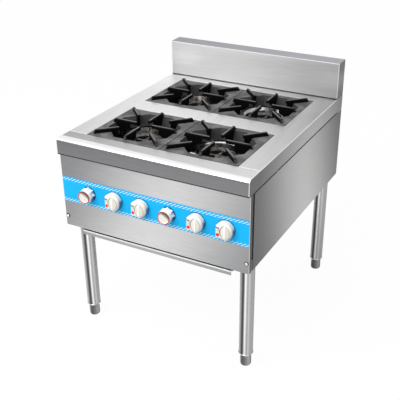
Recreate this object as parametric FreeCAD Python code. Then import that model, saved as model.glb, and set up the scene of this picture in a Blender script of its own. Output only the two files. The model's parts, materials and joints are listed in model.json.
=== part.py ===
import FreeCAD, Part
import math
import os

# Open gas range with four burners in two rows, on round legs.
# Millimetres. +X to the cook's right, +Y to the back, +Z up, floor at Z = 0.
# The origin is on the floor, midway between the knob faces and the back.

# Cabinet shell
cabinet_width = 700.0
cabinet_depth = 815.0
cabinet_height = 327.0
apron_height = 56.0
body_bottom = 411.0
sheet = 1.5
seam = 0.6
panel_return = 14.0
side_seam = 2.5
corner_gap = 13.0
bend_radius = 3.0
rear_recess = 45.0

# Front rail
rail_overhang = 12.0
bullnose_radius = 13.0
rail_depth = 61.0

# Backsplash
splash_height = 136.0
splash_depth = 65.0
splash_gap = 3.0
splash_edge_radius = 2.5

# Cast grates and the two cut-outs that hold them
grate_size = 275.5
grate_play = 1.25
grate_rim = 12.0
rear_land = 48.0
ledge_width = 12.0
grate_plate = 8.0
funnel_top_apothem = 115.0
funnel_foot_apothem = 98.0
funnel_sides = 8
funnel_depth = 36.0
funnel_wall = 5.0
finger_width = 9.0
finger_rise = 14.0
finger_tip = 11.0
finger_slope = 6.0
finger_bevel = 1.5
gusset_depth = 26.0
side_finger_inner = 30.0
side_finger_knee = 60.0
side_finger_outer = 124.0
corner_finger_inner = 86.0
corner_finger_knee = 91.0
corner_finger_outer = 174.0

# Welded frame
angle_size = 40.0
angle_thickness = 3.0
post_size = 30.0
rail_angle_size = 25.0
burner_stand = 70.0
bar_width = 25.0
bar_thickness = 5.0
bar_offset = 40.0

# Legs and levelling feet
leg_radius = 24.0
leg_wall = 1.5
leg_inset_x = 35.0
leg_inset_y = 66.0
socket_plate = 50.0
socket_thickness = 4.0
spigot_length = 40.0
fit_gap = 0.1
collar_height = 5.0
collar_lip = 1.5
plug_length = 32.0
foot_height = 48.0
foot_radius = 19.0
foot_bevel = 6.0
stud_radius = 8.0
stud_length = 62.0
running_gap = 0.05

# Drip tray and its runners
tray_rear_gap = 75.0
tray_height = 17.0
tray_drop = 9.0
tray_setback = 5.0
tray_flange = 10.0
tray_hem = 5.0
tray_gap = 0.3
runner_ledge = 9.0
runner_side_gap = 2.5
runner_leg_gap = 1.0

# Control strip, screws and knobs
strip_drop = 83.0
strip_height = 92.0
strip_thickness = 0.8
knob_margin_left = 108.5
knob_margin_right = 80.5
knob_gap = 1.5
stem_radius = 4.0
stem_flat = 1.2
stem_hole_radius = 7.0
stem_socket = 15.0
burner_knob_depth = 26.0
burner_knob_radius = 30.0
knob_skirt = 21.0
knob_bevel = 5.0
grip_length = 52.0
grip_width = 37.0
grip_shift = 6.5
grip_drop = 3.0
ridge_length = 40.0
ridge_width = 3.0
wing_reach = 30.0
wing_top = 9.0
wing_floor = 11.0
pilot_knob_depth = 30.0
pilot_knob_radius = 26.5
pilot_knob_face = 22.2
pilot_knob_lobes = 8
lobe_cut_radius = 20.0
lobe_cut_bite = 4.0
knob_dish_radius = 19.4
knob_dish_depth = 3.0
screw_head_radius = 5.2
screw_head_height = 3.0
screw_radius = 2.4
screw_inset = 10.0
screw_rise = 36.0

# Gas train
valve_front = 6.0
valve_nut_length = 8.0
valve_nut_radius = 9.5
valve_length = 30.0
burner_valve_radius = 12.0
pilot_valve_radius = 9.0
stem_seat_depth = 22.0
valve_outlet_radius = 6.5
valve_outlet_height = 22.0
boss_length = 8.0
boss_radius = 9.0
pipe_radius = 13.45
pipe_wall = 2.6
manifold_overrun = 24.0
bracket_width = 24.0
bracket_saddle = 20.0
inlet_bend = 22.0
inlet_stub = 36.0
thread_radius = 13.2
thread_length = 30.0
panel_hole_gap = 2.5
feed_radius = 4.0
feed_bend = 14.0
feed_straight = 28.0
pilot_line_radius = 3.0
pilot_bend = 10.0
pilot_run_in = 40.0

# Burners
burner_drop = 53.0
bowl_radius = 62.0
bowl_flange_radius = 66.0
bowl_flange = 4.0
bowl_foot_radius = 30.0
bowl_depth = 48.0
bowl_shoulder = 16.0
bowl_wall = 5.0
lug_width = 20.0
lug_thickness = 12.0
venturi_drop = 27.0
venturi_radius = 16.0
venturi_bore = 12.5
venturi_length = 105.0
injector_radius = 7.0
injector_tip_radius = 4.5
injector_length = 14.0
injector_entry = 6.0
injector_shoulder = 3.0
head_radius = 61.0
head_inner_radius = 34.0
head_crown_inner = 40.0
head_crown_outer = 50.0
head_rim = 7.0
head_crown = 14.0
head_inner_rise = 9.0
head_slots = 12
slot_width = 5.0
slot_depth = 7.0
head_arms = 4
arm_width = 9.0
arm_height = 6.0
hub_radius = 11.0
ring_radius = 73.0
ring_height = 24.0
ring_sheet = 1.5
pilot_tip_radius = 4.0
pilot_tip_offset = 80.0
pilot_tip_rise = 5.0
pilot_line_drop = 17.0

# Places worked out from the sizes above
half_width = cabinet_width / 2
worktop_height = body_bottom + cabinet_height
inner_bend = max(bend_radius - sheet, sheet / 2)
knob_reach = strip_thickness + knob_gap + max(burner_knob_depth, pilot_knob_depth)
panel_y = (knob_reach - cabinet_depth) / 2
back_y = panel_y + cabinet_depth
rail_front_y = panel_y - rail_overhang
cut_front_y = panel_y + rail_depth
apron_bottom = worktop_height - apron_height
cell = grate_size + 2 * grate_play
ledge_z = worktop_height - grate_rim
burner_x = cell / 2
front_row_y = cut_front_y + cell / 2
rear_row_y = back_y - splash_depth - rear_land - cell / 2
burners = {
    "front_left": (-burner_x, front_row_y),
    "front_right": (burner_x, front_row_y),
    "rear_left": (-burner_x, rear_row_y),
    "rear_right": (burner_x, rear_row_y),
}
frame_front_y = panel_y + sheet
frame_back_y = back_y - rear_recess
frame_half = half_width - sheet
frame_bottom = body_bottom + sheet
frame_floor = frame_bottom + angle_thickness
post_half = frame_half - angle_thickness
post_front_y = frame_front_y + angle_thickness
post_back_y = frame_back_y - angle_thickness
burner_seat_height = worktop_height - burner_drop
burner_rail_height = burner_seat_height - burner_stand
bar_top = burner_rail_height + bar_thickness
venturi_height = burner_seat_height - venturi_drop
pilot_tip_height = burner_seat_height + pilot_tip_rise
pilot_line_height = burner_seat_height - pilot_line_drop
leg_x = half_width - leg_inset_x
corners = {
    "front_left": (-leg_x, panel_y + leg_inset_y),
    "front_right": (leg_x, panel_y + leg_inset_y),
    "rear_left": (-leg_x, back_y - leg_inset_y),
    "rear_right": (leg_x, back_y - leg_inset_y),
}
leg_top = frame_bottom - socket_thickness
leg_foot = foot_height + collar_height
leg_bore = leg_radius - leg_wall
plug_radius = leg_bore - fit_gap
runner_outer = leg_x - socket_plate / 2 - runner_leg_gap
tray_half = runner_outer - sheet - runner_side_gap
strip_bottom = apron_bottom - strip_drop - strip_height
screw_height = body_bottom + screw_rise
knob_height = strip_bottom + strip_height / 2
knob_names = (
    "pilot_left", "front_left", "rear_left",
    "pilot_right", "front_right", "rear_right",
)
knob_pitch = (cabinet_width - knob_margin_left - knob_margin_right) / (len(knob_names) - 1)
knob_x = {}
for place, name in enumerate(knob_names):
    knob_x[name] = knob_margin_left - half_width + place * knob_pitch
knob_back_y = panel_y - strip_thickness - knob_gap
valve_front_y = panel_y + valve_front
valve_body_y = valve_front_y + valve_nut_length
valve_back_y = valve_body_y + valve_length
valve_outlet_y = valve_body_y + valve_length / 2
manifold_y = valve_back_y + boss_length + pipe_radius
feed_start_z = knob_height + valve_outlet_height
injector_back = venturi_length + injector_length - injector_entry


def point(x, y, z):
    return FreeCAD.Vector(x, y, z)


def block(x0, x1, y0, y1, z0, z1):
    return Part.makeBox(x1 - x0, y1 - y0, z1 - z0, point(x0, y0, z0))


def rod(radius, start, end):
    axis = end.sub(start)
    return Part.makeCylinder(radius, axis.Length, start, axis)


def plate(corners_list, thickness_vector):
    """Flat outline of straight sides, thickened along a vector."""
    outline = Part.makePolygon(corners_list + [corners_list[0]])
    return Part.Face(outline).extrude(thickness_vector)


def turned(profile, x, y):
    """Solid turned about the vertical line through x, y from (radius, height) pairs."""
    outline = [point(radius, 0, height) for radius, height in profile]
    face = Part.Face(Part.makePolygon(outline + [outline[0]]))
    solid = face.revolve(point(0, 0, 0), point(0, 0, 1), 360)
    solid.translate(point(x, y, 0))
    return solid


def bent_rod(route, radius, bend):
    """Round bar along straight runs joined by tangent arcs."""
    edges = []
    start = route[0]
    for before, corner, after in zip(route, route[1:], route[2:]):
        back = before.sub(corner).normalize()
        ahead = after.sub(corner).normalize()
        half_angle = back.getAngle(ahead) / 2
        inward = back.add(ahead).normalize()
        first = corner.add(back * (bend / math.tan(half_angle)))
        last = corner.add(ahead * (bend / math.tan(half_angle)))
        middle = corner.add(inward * (bend / math.sin(half_angle) - bend))
        edges.append(Part.LineSegment(start, first).toShape())
        edges.append(Part.Arc(first, middle, last).toShape())
        start = last
    edges.append(Part.LineSegment(start, route[-1]).toShape())
    circle = Part.makeCircle(radius, route[0], route[1].sub(route[0]))
    return Part.Wire(edges).makePipeShell([Part.Wire(circle)], True, False)


def mirrored(shape):
    """The same piece on the other side of the centre line."""
    return shape.mirror(point(0, 0, 0), point(1, 0, 0))


def rounded(shape, radius, wanted):
    """Round every edge whose bounding box satisfies the wanted test."""
    edges = [edge for edge in shape.Edges if wanted(edge.BoundBox)]
    return shape.makeFillet(radius, edges)


def forward(shape, x, y, z):
    """Place a shape that was built facing +Z so that it faces the cook."""
    shape.rotate(point(0, 0, 0), point(1, 0, 0), 90)
    shape.translate(point(x, y, z))
    return shape


def save(name, *solids):
    shape = solids[0] if len(solids) == 1 else Part.makeCompound(list(solids))
    shape.exportStep(os.path.join("parts", name + ".step"))


# Front rail: folded channel with a round nose, welded end caps and the front grate ledge
def front_rail():
    nose_y = rail_front_y + bullnose_radius
    nose_z = worktop_height - bullnose_radius
    slant = math.sqrt(0.5)

    def nose_arc(radius):
        top = point(0, nose_y, nose_z + radius)
        middle = point(0, nose_y - radius * slant, nose_z + radius * slant)
        front = point(0, nose_y - radius, nose_z)
        return Part.Arc(top, middle, front).toShape()

    def nose_outline(offset, back_low_y, low_z):
        """Top, round nose and front face, set inward by an offset and closed at the back."""
        top_z = worktop_height - offset
        front_y = rail_front_y + offset
        run = [
            Part.LineSegment(point(0, cut_front_y, top_z), point(0, nose_y, top_z)).toShape(),
            nose_arc(bullnose_radius - offset),
            Part.LineSegment(point(0, front_y, nose_z), point(0, front_y, low_z)).toShape(),
            Part.LineSegment(point(0, front_y, low_z), point(0, back_low_y, low_z)).toShape(),
            Part.LineSegment(point(0, back_low_y, low_z), point(0, cut_front_y, top_z)).toShape(),
        ]
        return Part.Face(Part.Wire(run))

    along = point(cabinet_width, 0, 0)
    body = nose_outline(0, cut_front_y, apron_bottom).extrude(along)
    hollow = nose_outline(sheet, cut_front_y, apron_bottom + sheet).extrude(along)
    body.translate(point(-half_width, 0, 0))

    def is_end_fold(box):
        return box.XLength < sheet and box.ZMax > apron_bottom + sheet and box.YMin < cut_front_y - sheet

    body = rounded(body, bend_radius, is_end_fold)
    hollow.translate(point(-half_width, 0, 0))
    hollow = hollow.common(block(-frame_half, frame_half, rail_front_y, back_y, 0, worktop_height))
    lower_back = block(
        -frame_half, frame_half, panel_y + panel_return, cut_front_y, apron_bottom, worktop_height - sheet
    )
    rail = body.cut(hollow).cut(lower_back)
    downturn = block(-cell, cell, cut_front_y - sheet, cut_front_y, ledge_z - sheet, worktop_height)
    ledge_half = cell - ledge_width - seam
    ledge = block(
        -ledge_half, ledge_half, cut_front_y - sheet, cut_front_y + ledge_width, ledge_z - sheet, ledge_z
    )
    return rail.fuse(downturn).fuse(ledge).removeSplitter()


# Top sheet: worktop with two cut-outs, folded side and rear aprons, and ledges for the grates
def top_sheet():
    front_y = cut_front_y + seam
    shell = block(-half_width, half_width, front_y, back_y, apron_bottom, worktop_height)

    def is_side_fold(box):
        return box.ZMin > worktop_height - sheet and box.XLength < sheet

    shell = rounded(shell, bend_radius, is_side_fold)
    under = block(
        -frame_half, frame_half, front_y - sheet, back_y - sheet, apron_bottom - sheet, worktop_height - sheet
    )
    shell = shell.cut(under)
    for row_y in (front_row_y, rear_row_y):
        near = row_y - cell / 2
        far = row_y + cell / 2
        bottom = ledge_z - sheet
        lining = block(-cell - sheet, cell + sheet, near - sheet, far + sheet, bottom, worktop_height)
        recess = block(-cell, cell, near, far, ledge_z, worktop_height)
        half = cell - ledge_width
        through = block(-half, half, near + ledge_width, far - ledge_width, bottom, worktop_height)
        shell = shell.fuse(lining).cut(recess).cut(through)
    rail_space = block(-half_width, half_width, rail_front_y, front_y, apron_bottom, worktop_height)
    ledge_half = cell - ledge_width
    rail_ledge_space = block(
        -ledge_half, ledge_half, rail_front_y, cut_front_y + ledge_width + seam, apron_bottom, worktop_height
    )
    shell = shell.cut(rail_space).cut(rail_ledge_space)
    return shell.removeSplitter()


# Backsplash: folded box with closed ends that stand on the worktop, its front held just clear of it
def backsplash():
    front_y = back_y - splash_depth
    top = worktop_height + splash_height
    outer = block(-half_width, half_width, front_y, back_y, worktop_height, top)

    def reaches_top(box):
        return box.ZMax > top - sheet

    outer = rounded(outer, splash_edge_radius, reaches_top)
    inner = block(
        -frame_half, frame_half, front_y + sheet, back_y - sheet, worktop_height - sheet, top - sheet
    )
    clear_edge = block(
        -frame_half, frame_half, front_y, front_y + 2 * sheet, worktop_height, worktop_height + splash_gap
    )
    return outer.cut(inner).cut(clear_edge)


# Front panel: folded pan with returns on four sides and holes for the valve stems and screws
def front_panel():
    top = apron_bottom
    outer = block(-half_width, half_width, panel_y, panel_y + panel_return, body_bottom, top)

    def is_front_upright(box):
        return box.ZLength > sheet and box.YMax < panel_y + sheet

    outer = rounded(outer, bend_radius, is_front_upright)
    inner = block(
        -frame_half, frame_half, panel_y + sheet, panel_y + 2 * panel_return, frame_bottom, top - sheet
    )

    def is_inner_upright(box):
        return box.ZLength > sheet and box.YMax < panel_y + 2 * sheet

    panel = outer.cut(rounded(inner, inner_bend, is_inner_upright))
    for x in knob_x.values():
        panel = panel.cut(stem_hole(x))
    for x in screw_places():
        panel = panel.cut(screw_hole(x))
    return panel


def stem_hole(x):
    front = point(x, panel_y - strip_thickness - sheet, knob_height)
    return rod(stem_hole_radius, front, point(x, panel_y + 2 * sheet, knob_height))


def screw_places():
    return (-half_width + screw_inset, half_width - screw_inset)


def screw_hole(x):
    front = point(x, panel_y - sheet, screw_height)
    back = point(x, post_front_y + sheet, screw_height)
    return rod(screw_radius + fit_gap, front, back)


# Side panel: plain sheet under the apron, behind a recess at the front corner
def right_side_panel():
    front_y = panel_y + panel_return + corner_gap
    return block(frame_half, half_width, front_y, back_y, body_bottom, apron_bottom - side_seam)


# Rear panel: set in from the back so that the gas connection stays clear of a wall
def rear_panel():
    half = frame_half - seam
    top = worktop_height - sheet - seam
    panel = block(-half, half, frame_back_y, frame_back_y + sheet, frame_bottom, top)
    front = point(inlet_x(), frame_back_y - sheet, knob_height)
    back = point(inlet_x(), frame_back_y + 2 * sheet, knob_height)
    return panel.cut(rod(pipe_radius + panel_hole_gap, front, back))


# Control strip: thin printed plate across the front panel
def control_strip():
    half = half_width - bend_radius
    strip = block(-half, half, panel_y - strip_thickness, panel_y, strip_bottom, strip_bottom + strip_height)
    for x in knob_x.values():
        strip = strip.cut(stem_hole(x))
    return strip


# Pan-head screws that hold the front panel to the frame
def panel_screws():
    screws = []
    for x in screw_places():
        seat = point(x, panel_y, screw_height)
        shank = rod(screw_radius, seat, point(x, post_front_y - fit_gap, screw_height))
        crown = screw_head_height / 2
        head = Part.makeCylinder(screw_head_radius, screw_head_height)
        head = rounded(head, crown, lambda box: box.ZMin > crown)
        screws.append(forward(head, x, panel_y, screw_height).fuse(shank))
    return screws


# Base frame: ring of welded angle, upright flange outside and flat flange below
def base_frame():
    top = frame_bottom + angle_size
    outside = block(-frame_half, frame_half, frame_front_y, frame_back_y, frame_bottom, top)

    def is_front_upright(box):
        return box.ZLength > sheet and box.YMax < post_front_y

    outside = rounded(outside, inner_bend, is_front_upright)
    inside = block(-post_half, post_half, post_front_y, post_back_y, frame_floor, top)
    reach = angle_size - angle_thickness
    opening = block(
        -post_half + reach, post_half - reach, post_front_y + reach, post_back_y - reach, frame_bottom, top
    )
    ring = outside.cut(inside).cut(opening)
    for x in screw_places():
        ring = ring.cut(screw_hole(x))
    return ring


# Corner posts: four angles on the base frame, the rear pair up to the worktop
def corner_posts():
    posts = []
    for y, inward, top in (
        (post_front_y, 1, apron_bottom - sheet),
        (post_back_y, -1, worktop_height - sheet),
    ):
        outline = [
            point(post_half, y, frame_floor),
            point(post_half - post_size, y, frame_floor),
            point(post_half - post_size, y + inward * angle_thickness, frame_floor),
            point(post_half - angle_thickness, y + inward * angle_thickness, frame_floor),
            point(post_half - angle_thickness, y + inward * post_size, frame_floor),
            point(post_half, y + inward * post_size, frame_floor),
        ]
        post = plate(outline, point(0, 0, top - frame_floor))
        posts += [mirrored(post), post]
    return posts


# Burner rails: an angle along each side between the posts
def burner_rails():
    outer = post_half - angle_thickness
    inner = outer - angle_thickness
    low = burner_rail_height - rail_angle_size
    front_y = post_front_y + angle_thickness
    rear_y = post_back_y - angle_thickness
    web = block(inner, outer, front_y, rear_y, low, burner_rail_height)
    flange_low = burner_rail_height - angle_thickness
    flange = block(outer - rail_angle_size, outer, front_y, rear_y, flange_low, burner_rail_height)
    rail = web.fuse(flange).removeSplitter()
    return [mirrored(rail), rail]


# Flat bars across the rails, two under each row of burners
def burner_support_bars():
    half = post_half - angle_thickness
    bars = []
    for row_y in (front_row_y, rear_row_y):
        for y in (row_y - bar_offset, row_y + bar_offset):
            bars.append(
                block(-half, half, y - bar_width / 2, y + bar_width / 2, burner_rail_height, bar_top)
            )
    return bars


# Leg sockets: plate under the frame with a spigot for the tube
def leg_sockets():
    sockets = []
    for x, y in corners.values():
        half = socket_plate / 2
        pad = block(x - half, x + half, y - half, y + half, leg_top, frame_bottom)
        spigot = rod(plug_radius, point(x, y, leg_top - spigot_length), point(x, y, leg_top))
        sockets.append(pad.fuse(spigot))
    return sockets


# Leg: plain round tube
def leg(x, y):
    low = point(x, y, leg_foot)
    high = point(x, y, leg_top)
    return rod(leg_radius, low, high).cut(rod(leg_bore, low, high))


# Foot collars: threaded plug in the end of each leg, with a lip below the tube
def foot_collars():
    collars = []
    lip_radius = leg_radius + collar_lip
    bevel = collar_lip
    for x, y in corners.values():
        profile = [
            (stud_radius + running_gap, foot_height),
            (lip_radius - bevel, foot_height),
            (lip_radius, foot_height + bevel),
            (lip_radius, leg_foot),
            (plug_radius, leg_foot),
            (plug_radius, leg_foot + plug_length),
            (stud_radius + running_gap, leg_foot + plug_length),
        ]
        collars.append(turned(profile, x, y))
    return collars


# Levelling foot: turned foot on a threaded stud
def foot(x, y):
    top = foot_height
    profile = [
        (0, 0),
        (foot_radius - foot_bevel, 0),
        (foot_radius, foot_bevel),
        (foot_radius, top),
        (stud_radius, top),
        (stud_radius, top + stud_length),
        (0, top + stud_length),
    ]
    return turned(profile, x, y)


# Drip tray: shallow pan with side flanges that ride on the runners and a full-width front lip
def drip_tray():
    front_y = panel_y + tray_setback
    rear_y = back_y - tray_rear_gap
    top = body_bottom - tray_drop
    bottom = top - tray_height
    half = tray_half
    pan_half = half - tray_flange
    pan = block(-pan_half, pan_half, front_y, rear_y, bottom, top)
    inside = block(
        -pan_half + sheet, pan_half - sheet, front_y + sheet, rear_y - sheet, bottom + sheet, top + sheet
    )
    flanges = block(-half, half, front_y, rear_y, top - sheet, top)
    lip = block(-half, half, front_y, front_y + sheet, bottom, top)
    hem = block(-half, half, front_y, front_y + tray_hem, top - sheet, top)
    return pan.fuse(flanges).cut(inside).fuse(lip).fuse(hem).removeSplitter()


# Tray runners: a folded ledge on each side, hung under the frame
def tray_runners():
    top = body_bottom - tray_drop
    ledge_top = top - sheet - tray_gap
    front_y = panel_y + tray_setback + tray_hem + tray_gap
    rear_y = frame_back_y
    outer = runner_outer
    inner = tray_half - runner_ledge
    web = block(outer - sheet, outer, front_y, rear_y, ledge_top - sheet, frame_bottom)
    ledge = block(inner, outer, front_y, rear_y, ledge_top - sheet, ledge_top)
    hanger = block(inner, outer, front_y + panel_return, rear_y, frame_bottom - sheet, frame_bottom)
    runner = web.fuse(ledge).fuse(hanger)
    clear_y = panel_y + panel_return + seam
    clear_panel = block(0, half_width, panel_y, clear_y, body_bottom - seam, frame_bottom)
    runner = runner.cut(clear_panel).removeSplitter()
    return [mirrored(runner), runner]


# Gas manifold: capped pipe across the front with a boss behind each valve
def gas_manifold():
    left = knob_x["pilot_left"] - manifold_overrun
    right = knob_x["rear_right"] + manifold_overrun
    pipe = rod(pipe_radius, point(left, manifold_y, knob_height), point(right, manifold_y, knob_height))
    for x in knob_x.values():
        boss = rod(boss_radius, point(x, valve_back_y, knob_height), point(x, manifold_y, knob_height))
        pipe = pipe.fuse(boss)
    bore_end = point(right - pipe_wall, manifold_y, knob_height)
    bore = rod(pipe_radius - pipe_wall, point(left, manifold_y, knob_height), bore_end)
    return pipe.cut(bore)


def inlet_x():
    return knob_x["pilot_left"] - manifold_overrun - inlet_bend - pipe_wall


# Gas inlet: bent pipe from the manifold's end to a threaded stub behind the rear panel
def gas_inlet_pipe():
    start = point(knob_x["pilot_left"] - manifold_overrun, manifold_y, knob_height)
    elbow = point(inlet_x(), manifold_y, knob_height)
    end = point(inlet_x(), frame_back_y + sheet + inlet_stub, knob_height)
    thread_start = point(inlet_x(), end.y - thread_length, knob_height)
    pipe = bent_rod([start, elbow, thread_start], pipe_radius, inlet_bend)
    pipe = pipe.fuse(rod(thread_radius, thread_start, end))
    return pipe.cut(bent_rod([start, elbow, end], pipe_radius - pipe_wall, inlet_bend))


# Manifold brackets: saddles that carry the pipe on the front panel
def manifold_brackets():
    pipe_line = rod(
        pipe_radius, point(-half_width, manifold_y, knob_height), point(half_width, manifold_y, knob_height)
    )
    low = knob_height - pipe_radius - bracket_saddle / 2
    places = (
        (knob_x["front_left"] + knob_x["rear_left"]) / 2,
        (knob_x["front_right"] + knob_x["rear_right"]) / 2,
    )
    brackets = []
    for x in places:
        x0 = x - bracket_width / 2
        x1 = x + bracket_width / 2
        foot_plate = block(x0, x1, frame_front_y, frame_front_y + angle_thickness, low, knob_height)
        arm = block(x0, x1, frame_front_y, manifold_y, low, low + angle_thickness)
        saddle_front = manifold_y - bracket_saddle / 2
        saddle_back = manifold_y + bracket_saddle / 2
        saddle = block(x0, x1, saddle_front, saddle_back, low, knob_height - pipe_radius / 2)
        brackets.append(foot_plate.fuse(arm).fuse(saddle).cut(pipe_line).removeSplitter())
    return brackets


# Gas valve: turned body with a hexagon nut in front, stem bore and an outlet on top
def gas_valve(x, radius):
    nut_outline = [
        point(
            valve_nut_radius * math.cos(math.radians(60 * side)),
            valve_nut_radius * math.sin(math.radians(60 * side)),
            0,
        )
        for side in range(6)
    ]
    nut = forward(plate(nut_outline, point(0, 0, valve_nut_length)), x, valve_body_y, knob_height)
    body = rod(radius, point(x, valve_body_y, knob_height), point(x, valve_back_y, knob_height))
    outlet = rod(
        valve_outlet_radius, point(x, valve_outlet_y, knob_height), point(x, valve_outlet_y, feed_start_z)
    )
    bore_end = point(x, valve_front_y + stem_seat_depth, knob_height)
    bore = rod(stem_radius + running_gap, point(x, valve_front_y, knob_height), bore_end)
    return body.fuse(nut).fuse(outlet).cut(bore)


# Valve stem: round shaft with a flat, from the valve's bore into the knob's socket
def valve_stem(x):
    front_y = knob_back_y - stem_socket
    back_end = valve_front_y + stem_seat_depth - seam
    shaft = rod(stem_radius, point(x, front_y, knob_height), point(x, back_end, knob_height))
    flat_z = knob_height + stem_radius - stem_flat
    flat = block(
        x - stem_radius, x + stem_radius, front_y, knob_back_y, flat_z, knob_height + 2 * stem_radius
    )
    return shaft.cut(flat)


# Socket for a stem in the back of a knob that is built facing +Z
def stem_socket_cut():
    radius = stem_radius + fit_gap
    hole = Part.makeCylinder(radius, stem_socket)
    key = block(-radius, radius, stem_radius - stem_flat + fit_gap, radius, 0, stem_socket)
    return hole.cut(key)


# Burner knob: bevelled round body, a lens-shaped grip with a ridge, and a lower square wing beside it
def burner_knob(x):
    body = turned(
        [
            (0, 0),
            (burner_knob_radius, 0),
            (burner_knob_radius, knob_skirt - knob_bevel),
            (burner_knob_radius - knob_bevel, knob_skirt),
            (0, knob_skirt),
        ],
        0,
        0,
    )

    def lens(length, width, height):
        """Two arcs that meet in a point above and below."""
        top = point(grip_shift, length / 2 - grip_drop, height)
        bottom = point(grip_shift, -length / 2 - grip_drop, height)
        right = point(grip_shift + width / 2, -grip_drop, height)
        left = point(grip_shift - width / 2, -grip_drop, height)
        return Part.Wire([
            Part.Arc(top, right, bottom).toShape(),
            Part.Arc(bottom, left, top).toShape(),
        ])

    wing_side = grip_shift - grip_width / 2
    wing = block(-wing_reach, wing_side, -wing_reach, wing_top, 0, wing_floor)
    far = 2 * burner_knob_radius
    sunk = block(-far, wing_side, -far, wing_top, wing_floor, knob_skirt)
    foot_lens = lens(grip_length, grip_width, wing_floor)
    face_lens = lens(grip_length, grip_width, knob_skirt)
    ridge_lens = lens(ridge_length, ridge_width, burner_knob_depth)
    grip = Part.makeLoft([foot_lens, face_lens, ridge_lens], True, True)
    knob = body.fuse(wing).cut(sunk).fuse(grip).cut(stem_socket_cut())
    return forward(knob, x, knob_back_y, knob_height)


# Pilot knob: tapered body with lobes that fade towards a dished face
def pilot_knob(x):
    body = turned(
        [
            (0, 0),
            (pilot_knob_radius, 0),
            (pilot_knob_face, pilot_knob_depth),
            (knob_dish_radius, pilot_knob_depth),
            (knob_dish_radius - knob_dish_depth, pilot_knob_depth - knob_dish_depth),
            (0, pilot_knob_depth - knob_dish_depth),
        ],
        0,
        0,
    )
    cut_ring = pilot_knob_radius + lobe_cut_radius - lobe_cut_bite
    for lobe in range(pilot_knob_lobes):
        angle = math.radians(360 * (lobe + 0.5) / pilot_knob_lobes)
        centre = point(cut_ring * math.sin(angle), cut_ring * math.cos(angle), 0)
        body = body.cut(Part.makeCylinder(lobe_cut_radius, pilot_knob_depth, centre))
    return forward(body.cut(stem_socket_cut()), x, knob_back_y, knob_height)


# Burner body: cast bowl on two lugs, with a straight mixing tube towards the front
def burner_body(x, y):
    seat = burner_seat_height
    bottom = seat - bowl_depth
    shoulder = seat - bowl_shoulder
    flange_low = seat - bowl_flange
    inner_radius = bowl_radius - bowl_wall
    bowl = turned(
        [
            (0, bottom),
            (bowl_foot_radius, bottom),
            (bowl_radius, shoulder),
            (bowl_radius, flange_low),
            (bowl_flange_radius, flange_low),
            (bowl_flange_radius, seat),
            (0, seat),
        ],
        x,
        y,
    )
    hollow = turned(
        [
            (0, bottom + bowl_wall),
            (bowl_foot_radius - bowl_wall, bottom + bowl_wall),
            (inner_radius, shoulder),
            (inner_radius, seat),
            (0, seat),
        ],
        x,
        y,
    )
    mouth = point(x, y - venturi_length, venturi_height)
    axis_end = point(x, y, venturi_height)
    half_lug = lug_width / 2
    lug_top = shoulder
    body = bowl.fuse(rod(venturi_radius, mouth, axis_end))
    for lug_y in (y - bar_offset, y + bar_offset):
        near = lug_y - lug_thickness / 2
        far = lug_y + lug_thickness / 2
        body = body.fuse(block(x - half_lug, x + half_lug, near, far, bar_top, lug_top))
    return body.cut(hollow).cut(rod(venturi_bore, mouth, axis_end)).removeSplitter()


# Burner head: cast ring with radial flame slots, open in the middle but for a hub on crossed arms
def burner_head(x, y):
    seat = burner_seat_height
    head = turned(
        [
            (head_inner_radius, seat),
            (head_radius, seat),
            (head_radius, seat + head_rim),
            (head_crown_outer, seat + head_crown),
            (head_crown_inner, seat + head_crown),
            (head_inner_radius, seat + head_inner_rise),
        ],
        0,
        0,
    )
    slot_start = (head_crown_inner + head_crown_outer) / 2
    for number in range(head_slots):
        slot = block(
            slot_start, head_radius + slot_width, -slot_width / 2, slot_width / 2,
            seat + head_crown - slot_depth, seat + 2 * head_crown,
        )
        slot.rotate(point(0, 0, 0), point(0, 0, 1), 360 * number / head_slots)
        head = head.cut(slot)
    head = head.fuse(rod(hub_radius, point(0, 0, seat), point(0, 0, seat + arm_height)))
    for number in range(head_arms):
        arm = block(0, head_crown_inner, -arm_width / 2, arm_width / 2, seat, seat + arm_height)
        arm.rotate(point(0, 0, 0), point(0, 0, 1), 360 * number / head_arms)
        head = head.fuse(arm)
    head = head.removeSplitter()
    head.translate(point(x, y, 0))
    return head


# Burner ring: bright sheet cone standing on the bowl's flange round the head
def burner_ring(x, y):
    seat = burner_seat_height
    foot_radius = head_radius + seam
    profile = [
        (foot_radius, seat),
        (foot_radius + ring_sheet, seat),
        (ring_radius, seat + ring_height),
        (ring_radius - ring_sheet, seat + ring_height),
        (foot_radius, seat + ring_sheet),
    ]
    return turned(profile, x, y)


# Injector: turned jet that stands in the mouth of a mixing tube
def injector(x, y):
    mouth = y - venturi_length
    tip = point(x, mouth + injector_entry, venturi_height)
    shoulder = point(x, mouth - injector_shoulder, venturi_height)
    back = point(x, y - injector_back, venturi_height)
    return rod(injector_radius, back, shoulder).fuse(rod(injector_tip_radius, shoulder, tip))


# Feed tube: from a valve's outlet up and back to its injector
def feed_tube(name):
    x, y = burners[name]
    valve_x = knob_x[name]
    end_y = y - injector_back
    route = [
        point(valve_x, valve_outlet_y, feed_start_z),
        point(valve_x, valve_outlet_y, venturi_height),
    ]
    if y == rear_row_y:
        route.append(point(valve_x, end_y - feed_straight - abs(valve_x - x), venturi_height))
    route.append(point(x, end_y - feed_bend, venturi_height))
    route.append(point(x, end_y, venturi_height))
    return bent_rod(route, feed_radius, feed_bend)


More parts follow.
